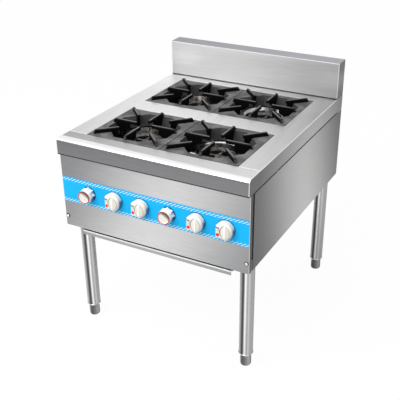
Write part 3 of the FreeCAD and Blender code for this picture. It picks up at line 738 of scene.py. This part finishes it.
def blue_print():
    """Blue field with a border of dashes, and a painted shadow as a dark ring round each knob."""
    finish = ByKnob("blue_print")
    low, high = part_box("control_strip")
    border = 0.0118
    top_margin = 0.0025
    dash_pitch = 0.0138
    slant = 1.65
    soft = 0.0008
    x = finish.axis("X")
    z = finish.axis("Z")
    from_edge = finish.node(
        "ShaderNodeMath", {"operation": "MINIMUM"}, {0: z - low.z, 1: high.z - top_margin - z}
    )
    in_border = 1 - finish.rise(from_edge, border - soft, border + soft)
    phase = finish.node(
        "ShaderNodeMath", {"operation": "PINGPONG"}, {0: (x - slant * z) / dash_pitch, 1: 0.5}
    )
    dash = finish.rise(phase, 0.27, 0.37)
    dash_start = finish.rise(from_edge, 0.0, 0.0012)
    dash_end = finish.rise(from_edge, border - 0.0016, border - 0.0004)
    within = dash_start * (1 - dash_end)
    fade = finish.noise((9, 9, 9), 3)
    field = finish.mix(fade, colour(0.003, 0.40, 0.81), colour(0.006, 0.46, 0.87))
    tone = finish.mix(in_border, field, colour(0.006, 0.40, 0.80))
    tone = finish.mix(in_border * within * dash, tone, colour(0.56, 0.79, 0.82))
    # A dark ring round each knob is painted on the strip as the knob's shadow.
    from_knob = finish.distance(0.0, 0.0) + lobed_less * finish.lobed + 0.002 * (fade - 0.5)
    knob_shadow_ring = 1 - finish.rise(from_knob, knob_rim, knob_rim + 0.003)
    finish.surface({
        "Base Color": finish.mix(knob_shadow_ring, tone, colour(0.002, 0.12, 0.36)),
        "Roughness": 0.34 + 0.08 * fade,
        "Specular IOR Level": 0.15,
        "Normal": finish.relief(finish.noise((500, 500, 500), 2), 0.00002),
    })
    return finish


knob_count = 6
knob_rim = 0.0305
lobed_less = 0.0045
finished("control_strip", blue_print(), 0.0002)


# Knobs: four with a leaf-shaped grip beside a sunk square wing, and two with lobes and a dished face.
# Moulded cream-white plastic pushed on flatted stems, printed with a red dot or ring, with shade painted on
# the lower flanks, in the corners and round the grips.
class Moulded(ByKnob):
    """Gloss plastic with a faint flow mottle and marks on it."""

    def __init__(self, name, pale, warm):
        super().__init__(name)
        self.mottle = self.noise((55, 55, 55), 3)
        self.tone = self.mix(self.mottle, pale, warm)

    def mark(self, mask, tone):
        self.tone = self.mix(mask, self.tone, tone)

    def shade_flanks(self):
        """Paint shade and a reflection of the blue strip on the flanks where they turn down and meet the
        strip.
        """
        low_flank = 1 - self.rise(self.facing("Z"), 0.05, 0.5)
        not_front = self.rise(self.facing("Y"), -0.9, -0.75)
        near_strip = 1 - self.rise(self.depth + 0.004 * (self.mottle - 0.5), 0.010, 0.023)
        self.mark(low_flank * not_front * near_strip, colour(0.10, 0.18, 0.28))

    def mould(self):
        self.surface({
            "Base Color": self.tone,
            "Roughness": 0.24 + 0.14 * self.mottle,
            "Coat Weight": 0.05,
            "Specular IOR Level": 0.25,
            "Normal": self.relief(self.noise((600, 600, 600), 2), 0.00003),
        })
        return self


def body_white():
    """White body of a burner knob, its sunk wing painted duller as shade, painted shadow under the wing's
    step and beside the grip, and a red dot.
    """
    finish = Moulded("body_white", colour(0.79, 0.76, 0.71), colour(0.85, 0.82, 0.765))
    finish.shade_flanks()
    on_wing = 1 - finish.rise(finish.right, wing_side - 0.0005, wing_side + 0.0005)
    below_step = 1 - finish.rise(finish.above, wing_top - 0.0005, wing_top)
    on_floor = on_wing * below_step * finish.band(finish.depth, wing_floor - 0.001, wing_floor + 0.001)
    step_shadow_band = finish.band(finish.above, wing_top, wing_top + 0.0035)
    step = on_wing * step_shadow_band * finish.rise(finish.depth, wing_floor + 0.003, wing_floor + 0.004)
    grip_shadow_band = finish.rise(finish.right, wing_side - 0.0070, wing_side - 0.0058)
    dot = 1 - finish.rise(finish.distance(*dot_place), dot_radius, dot_radius + 0.0008)
    # The wing floor is painted duller as shade, and the lines beside the grip and under the step are
    # painted shadow.
    finish.mark(on_floor, colour(0.72, 0.69, 0.63))
    finish.mark(on_floor * grip_shadow_band, colour(0.12, 0.14, 0.16))
    finish.mark(step, colour(0.07, 0.065, 0.06))
    finish.mark(on_floor * dot, colour(0.88, 0.003, 0.002))
    return finish.mould()


def grip_cream():
    """Cream grip with a painted highlight along its ridge and painted shade round its outline, darkest on
    the wing's side.
    """
    finish = Moulded("grip_cream", colour(0.67, 0.635, 0.56), colour(0.74, 0.705, 0.63))
    shaded_outline = 1 - finish.rise(finish.depth, body_front + 0.0003, body_front + 0.0018)
    far_side = finish.rise(finish.right, 0.0, 0.012)
    finish.mark(shaded_outline, finish.mix(far_side, colour(0.16, 0.18, 0.21), colour(0.46, 0.44, 0.39)))
    # The pale ridge line is a painted highlight.
    ridge = 1 - finish.rise(finish.size_of(finish.right - ridge_right), 0.0012, 0.0028)
    finish.mark(ridge, colour(0.90, 0.89, 0.87))
    return finish.mould()


def lobed_white():
    """White lobed body with a cream dish in a red ring; the dish and the ring are painted dark under the
    upper rim as shade, with dark stripes painted in that shade.
    """
    finish = Moulded("lobed_white", colour(0.91, 0.88, 0.82), colour(0.95, 0.925, 0.87))
    finish.shade_flanks()
    radius = finish.distance(0.0, 0.0)
    on_face = finish.rise(finish.depth, lobed_front, lobed_front + 0.0006)
    in_dish = on_face * (1 - finish.rise(radius, dish_radius - 0.0008, dish_radius))
    # Shade under the upper rim is painted into the dish and the ring.
    under_rim_shade = finish.rise(finish.above + 0.6 * finish.right, 0.000, 0.016)
    finish.mark(in_dish, finish.mix(under_rim_shade, colour(0.74, 0.71, 0.64), colour(0.20, 0.20, 0.175)))
    around = finish.node("ShaderNodeMath", {"operation": "ARCTAN2"}, {0: finish.above, 1: finish.right})
    turn = finish.node("ShaderNodeMath", {"operation": "PINGPONG"}, {0: around / stripe_pitch, 1: 0.5})
    dark_stripes = in_dish * under_rim_shade * finish.rise(turn, 0.18, 0.34) * finish.rise(radius, 0.0095, 0.0120)
    finish.mark(dark_stripes, colour(0.045, 0.045, 0.035))
    ring_red = finish.mix(under_rim_shade, colour(0.56, 0.030, 0.010), colour(0.26, 0.008, 0.006))
    finish.mark(on_face * finish.band(radius, dish_radius, dish_radius + 0.0035), ring_red)
    return finish.mould()


stripe_pitch = math.radians(24)
body_front = 0.021
wing_floor = 0.011
wing_side = -0.012
wing_top = 0.009
dot_place = (-0.0237, -0.0202)
dot_radius = 0.0052
ridge_right = 0.0065
lobed_front = 0.0262
dish_radius = 0.0190
knob_body = body_white()
knob_grip = grip_cream()
knob_lobed = lobed_white()
for burner in burner_names:
    node = "burner_knob_" + burner
    knob = finished(node, knob_body, 0.0011, 20)
    knob.data.materials.append(knob_grip.material)
    back = knob_axis(node).y
    for face in knob.data.polygons:
        face.material_index = int(back - face.center.y > body_front + 0.0002)
for side in sides:
    finished("pilot_knob_" + side, knob_lobed, 0.0004, 30)


# Burners: a cast bowl with a mixing tube, a slotted ring with a hub on crossed arms, and a guard.
# Sand-cast iron, browned by heat, with its walls painted near black as shade; the guard is a cone spun from
# bright stainless.
def browned_iron():
    finish = Finish("browned_iron")
    sand = finish.noise((650, 650, 650), 3)
    stain = finish.rise(finish.noise((90, 90, 90), 4), 0.38, 0.62)
    up = finish.rise(finish.facing("Z"), 0.1, 0.8)
    iron = finish.mix(stain, colour(0.040, 0.037, 0.035), colour(0.155, 0.148, 0.14))
    finish.surface({
        # Faces that do not look up are painted near black as shade.
        "Base Color": finish.mix(up, colour(0.020, 0.018, 0.017), iron),
        "Metallic": 0.5,
        "Roughness": 0.42 + 0.22 * sand,
        "Normal": finish.relief(sand, 0.0005),
    })
    return finish


def bright_ring():
    """Browned by the flames, with a painted highlight on the right pair's rims: at the sides on the rear
    burner and behind on the front one.
    """
    finish = Finish("bright_ring")
    low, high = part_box("burner_rings")
    spun = finish.noise((25, 25, 1400), 2)
    tint = finish.noise((20, 20, 20), 3)
    burnt = finish.rise(finish.noise((120, 120, 60), 4), 0.35, 0.65)
    edge = finish.rise(finish.axis("Z") + 0.006 * (tint - 0.5), high.z - 0.012, high.z - 0.008)
    right_pair = finish.rise(finish.axis("X"), -0.02, 0.02)
    row_middle = (low.y + high.y) / 2
    rear_row = finish.rise(finish.axis("Y"), row_middle - 0.02, row_middle + 0.02)
    at_sides = edge * finish.rise(finish.size_of(finish.facing("X")), 0.22, 0.45)
    line = finish.rise(finish.axis("Z"), high.z - 0.0045, high.z - 0.0030)
    behind = line * (1 - finish.rise(finish.facing("Y"), -0.55, -0.35))
    # The rim mask is a painted highlight: white and less metallic where the rims catch the light.
    rim = right_pair * (rear_row * at_sides + (1 - rear_row) * behind)
    stain = finish.mix(right_pair, colour(0.13, 0.122, 0.115), colour(0.085, 0.08, 0.075))
    stained = finish.mix(burnt, colour(0.016, 0.015, 0.014), stain)
    bright = finish.mix(tint, colour(0.88, 0.88, 0.875), colour(0.97, 0.97, 0.965))
    finish.surface({
        "Base Color": finish.mix(rim, stained, bright),
        "Metallic": 1 - 0.85 * rim,
        "Roughness": 0.20 + 0.10 * spun,
        "Normal": finish.relief(spun, 0.00003),
    })
    return finish


iron_brown = browned_iron()
for burner in burner_names:
    finished("burner_body_" + burner, iron_brown, 0.0008)
finished("burner_heads", iron_brown, 0.0007)
finished("burner_rings", bright_ring(), 0.0003)


# Worktop: one folded top with two cut-outs, a front rail with a round nose and a box backsplash.
# Stainless sheet, folded and seam welded, the weld ground flush and the grain brushed back over it.
def lip(finish, foot):
    """1 on a band at the foot of a sheet, painted dark as the shadow line at the seam."""
    return 1 - finish.rise(finish.axis("Z"), foot + lip_height, foot + 1.5 * lip_height)


def top_steel():
    """Brushed front to back, with painted sheen on the flat and the aprons, the aprons as dull as the side
    panels, painted highlights along the side and front edges and a dark foot painted as the seam's shadow.
    """
    finish = Brushed("top_steel")
    low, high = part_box("top_sheet")
    side_edge_highlight = finish.rise(finish.size_of(finish.axis("X")), high.x - 0.0035, high.x - 0.0015)
    rear = finish.rise(finish.axis("Y"), 0.12, 0.34)
    up = finish.rise(finish.facing("Z"), 0.4, 0.8)
    flat = finish.sheen((1, 0.6, 0), -0.2, 0.65, colour(0.53, 0.53, 0.535), grey(0.86))
    pale_rear = finish.sheen((1, 0, 0), -0.35, 0.75, colour(0.74, 0.74, 0.745), grey(0.95))
    flat = finish.mix(rear, flat, pale_rear)
    front_edge_highlight = 1 - finish.rise(finish.axis("Y"), low.y + 0.0030, low.y + 0.0050)
    # The pale lines along the side and front edges are painted highlights.
    flat = finish.mix(finish.either(side_edge_highlight, front_edge_highlight), flat, grey(0.97))
    apron = finish.sheen((0, 1, 0), 0.10, 0.55, grey(0.115), colour(0.545, 0.545, 0.54))
    behind = finish.rise(finish.facing("Y"), 0.5, 0.9)
    apron = finish.mix(behind, apron, colour(0.48, 0.48, 0.485))
    apron = finish.mix(lip(finish, low.z), apron, seam_shadow)
    finish.brush("Y", finish.mix(up, apron, flat), 0.40)
    return finish


def rail_steel():
    """Pale painted sheen on the flat, dull in front, ends painted dark as shade, and a painted highlight on
    the nose and at the rounded ends.

    The painted highlight reaches further up and back along the nose toward the left.
    """
    finish = Brushed("rail_steel")
    low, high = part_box("front_rail")
    nose_end = low.y + 0.021
    flat = finish.sheen((1, 0, 0), 0.45, 1.10, grey(0.38), grey(0.76))
    front = finish.sheen((1, 0, 0), 0.0, 0.60, colour(0.232, 0.232, 0.238), colour(0.247, 0.247, 0.253))
    highlight_tone = finish.sheen((1, 0, 0), 0.25, 0.75, grey(0.93), grey(0.96))
    up = finish.facing("Z")
    end = finish.rise(finish.size_of(finish.facing("X")), 0.5, 0.9)
    leftward = 1 - finish.rise(finish.axis("X"), low.x, high.x)
    creep_back = 0.012
    creep_up = 0.24
    behind_nose = finish.rise(finish.axis("Y") - creep_back * leftward, nose_end - 0.004, nose_end)
    nose_highlight = finish.rise(up - creep_up * leftward, 0.36, 0.44) * (1 - behind_nose)
    # The weld mask is a painted highlight on the rail's rounded ends, and the end faces are painted dark as
    # shade.
    weld = finish.rise(finish.size_of(finish.axis("X")), high.x - 0.0038, high.x - 0.0020)
    tone = finish.mix(finish.rise(up, 0.90, 0.99), front, flat)
    tone = finish.mix(finish.either(nose_highlight, weld), tone, highlight_tone)
    tone = finish.mix(end, tone, side_dull)
    finish.brush("X", finish.mix(lip(finish, low.z), tone, seam_shadow), 0.38)
    return finish


def splash_steel():
    """Satin sheet with a painted sheen palest left of its middle and painted darker toward the top as
    shade, dull painted sheen on the top and ends, painted highlights on the folds and a dark foot painted
    as the seam's shadow.
    """
    finish = Brushed("splash_steel")
    low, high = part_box("backsplash")
    up = finish.rise(finish.facing("Z"), 0.3, 0.7)
    end = finish.rise(finish.size_of(finish.facing("X")), 0.6, 0.9)
    end_fold_highlight = finish.rise(finish.size_of(finish.axis("X")), high.x - 0.0035, high.x - 0.0018)
    top_fold_highlight = finish.rise(finish.axis("Z"), high.z - 0.0035, high.z - 0.0020) * (1 - up)
    # The face is painted darker toward the top as shade.
    darker_toward_top = finish.rise(finish.axis("Z"), high.z - 0.060, high.z - 0.012)
    face = finish.sheen((1, 0, 0), -0.075, 0.66, grey(0.28), grey(0.81))
    tone = finish.scaled(face, 1.04 - 0.17 * darker_toward_top)
    tone = finish.mix(end_fold_highlight, tone, grey(0.80))
    tone = finish.mix(top_fold_highlight, tone, grey(0.97))
    top = finish.sheen((1, 0, 0), 0.40, 1.20, colour(0.273, 0.269, 0.286), colour(0.365, 0.360, 0.383))
    side = finish.sheen((0, 0, 1), 0.806, 0.05, grey(0.225), grey(0.36))
    tone = finish.mix(up, tone, top)
    tone = finish.mix(end, tone, side)
    finish.brush("X", finish.mix(lip(finish, low.z), tone, seam_shadow), 0.60, 0.4)
    return finish


# The foot of each sheet is painted near black as the shadow line at its seam.
lip_height = 0.0028
seam_shadow = grey(0.025)
finished("top_sheet", top_steel(), fold)
finished("front_rail", rail_steel(), fold)
finished("backsplash", splash_steel())


# Grates: four heavy castings that drop in the cut-outs, each a plate, a funnel and eight fingers.
# Grey iron from a sand mould, blackened with stove polish, and wiped paler on the flats in patches;
# the webs and crest flanks are painted near black as shade, and the crest tops, rubbed smoother by pots,
# pale as painted highlight.
def blacked_iron():
    finish = Finish("blacked_iron")
    sand = finish.noise((520, 520, 520), 4)
    patch = finish.noise((22, 22, 22), 3)
    up = finish.facing("Z")
    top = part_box("grate_front_left")[1].z
    crest = finish.rise(finish.axis("Z"), top - 0.0030, top - 0.0020)
    top_highlight = crest * finish.rise(up, 0.93, 0.99)
    shade_black = colour(0.0015, 0.0015, 0.0016)
    # Faces that turn from the sky, and the crest band, are painted near black as shade; the crest tops are
    # painted pale as highlight.
    shaded_webs = finish.mix(finish.rise(up, 0.15, 0.40), shade_black, colour(0.050, 0.050, 0.052))
    wiped = finish.rise(patch, 0.3, 0.7)
    plate = finish.mix(wiped, colour(0.085, 0.085, 0.087), colour(0.180, 0.180, 0.184))
    black = finish.mix(finish.rise(up, 0.6, 0.9), shaded_webs, plate)
    black = finish.mix(crest, black, colour(0.016, 0.016, 0.0165))
    finish.surface({
        "Base Color": finish.mix(top_highlight, black, colour(0.15, 0.15, 0.152)),
        "Metallic": 0.1,
        "Roughness": 0.52 + 0.2 * sand - 0.08 * top_highlight,
        "Specular IOR Level": 0.08,
        "Normal": finish.relief(sand, 0.0005),
    })
    return finish


iron_black = blacked_iron()
for burner in burner_names:
    finished("grate_" + burner, iron_black, 0.0010)


# Drip tray: a shallow pan that slides out on two folded runners hung under the frame.
# Thin stainless sheet with folded flanges and a hemmed front lip.
def tray_steel():
    """Dull from heat and wiping under a faint painted sheen, with a painted highlight along the top of its
    front lip.
    """
    finish = Brushed("tray_steel")
    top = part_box("drip_tray")[1].z
    # The top of the front lip is painted pale as highlight.
    top_highlight = finish.rise(finish.axis("Z"), top - 0.0065, top - 0.0045)
    dull = finish.sheen((1, 0, 0), 0.0, 0.6, colour(0.30, 0.30, 0.305), colour(0.42, 0.42, 0.422))
    finish.brush("X", finish.mix(top_highlight, dull, grey(0.80)), 0.42)
    return finish


finished("drip_tray", tray_steel(), 0.0003)
finished("tray_runners", steel_plain, 0.0003)


# Stage: pale floor, soft lamps and the camera, which stands where the photographer stood.
# The floor is white to the eye; the polished metal sees a pale pool of light painted round the range,
# darker far off.
def pale_floor():
    """White to the eye, with a light shadow; a painted pool of light round the range in reflections."""
    finish = Finish("pale_floor")
    white_share = 0.96
    pool_share = 0.20
    seen = finish.node("ShaderNodeLightPath", output="Is Camera Ray")
    mirrored = finish.node("ShaderNodeLightPath", output="Is Glossy Ray")
    distance = finish.node("ShaderNodeVectorMath", {"operation": "LENGTH"}, {0: finish.place}, "Value")
    cloth = finish.noise((0.6, 0.6, 0.6), 2)
    pool = 1 - finish.rise(distance + 0.15 * cloth, 0.8, 3.5)
    near = seen + pool * mirrored
    finish.surface({
        "Base Color": finish.mix(near, colour(0.66, 0.66, 0.665), grey(0.86)),
        "Roughness": 0.9,
        "Specular IOR Level": 0.0,
    })
    glow = finish.node("ShaderNodeEmission", values={
        "Color": finish.mix(near, colour(0.45, 0.45, 0.455), grey(1)), "Strength": 1.0,
    })
    output = finish.tree.nodes["Material Output"]
    lit = Term(finish, finish.tree.nodes["Principled BSDF"].outputs[0])
    shown = finish.node(
        "ShaderNodeMixShader", values={0: white_share * seen + pool_share * mirrored, 1: lit, 2: glow}
    )
    finish.fill(output.inputs["Surface"], shown)
    return finish


floor_half = 15.0
floor_level = -0.0005
floor_corners = ((-1, -1), (1, -1), (1, 1), (-1, 1))
floor_mesh = bpy.data.meshes.new("floor")
floor_mesh.from_pydata(
    [(floor_half * x, floor_half * y, floor_level) for x, y in floor_corners], [], [(0, 1, 2, 3)]
)
floor_mesh.materials.append(pale_floor().material)
floor = placed("floor", floor_mesh)


def soft_lamp(name, place, target, width, height, power):
    data = bpy.data.lights.new(name, "AREA")
    data.shape = "RECTANGLE"
    data.size = width
    data.size_y = height
    data.energy = power
    lamp = bpy.data.objects.new(name, data)
    lamp.location = place
    lamp.rotation_euler = (Vector(target) - Vector(place)).to_track_quat("-Z", "Y").to_euler()
    bpy.context.scene.collection.objects.link(lamp)


middle = (0, 0, 0.55)
soft_lamp("key", (-0.8, -2.5, 3.3), middle, 3.2, 2.0, 105)
soft_lamp("fill", (3.2, -1.6, 2.0), middle, 1.8, 2.2, 5)

world = bpy.data.worlds.new("studio")
world.use_nodes = True
bpy.context.scene.world = world
sky = Graph(world.node_tree)
direction = sky.node("ShaderNodeTexCoord", output="Generated")
height = sky.node("ShaderNodeSeparateXYZ", values={"Vector": direction}, output="Z")
side_way = sky.node("ShaderNodeSeparateXYZ", values={"Vector": direction}, output="X")
lift = sky.node("ShaderNodeMapRange", values={"Value": height, "From Min": 0.0, "From Max": 0.35})
dim_side = sky.node(
    "ShaderNodeMapRange", values={"Value": side_way, "From Min": 0.0, "From Max": 0.8, "To Max": 0.5}
)
seen = sky.node("ShaderNodeLightPath", output="Is Camera Ray")
mirrored = sky.node("ShaderNodeLightPath", output="Is Glossy Ray")
tone = sky.mix(lift, colour(0.62, 0.62, 0.63), colour(0.93, 0.93, 0.935))
tone = sky.mix(dim_side * (1 - mirrored), tone, colour(0.20, 0.20, 0.205))
sky.fill(world.node_tree.nodes["Background"].inputs["Color"], sky.mix(seen, tone, grey(1)))

camera_data = bpy.data.cameras.new("camera")
camera_data.lens = 66.03
camera_data.sensor_width = 36.0
camera = bpy.data.objects.new("camera", camera_data)
camera.location = (1.126471, -2.132310, 1.667936)
camera.rotation_euler = [math.radians(angle) for angle in (62.37, 0.551, 28.252)]
bpy.context.scene.collection.objects.link(camera)
bpy.context.scene.camera = camera
bpy.context.scene.view_settings.view_transform = "Standard"
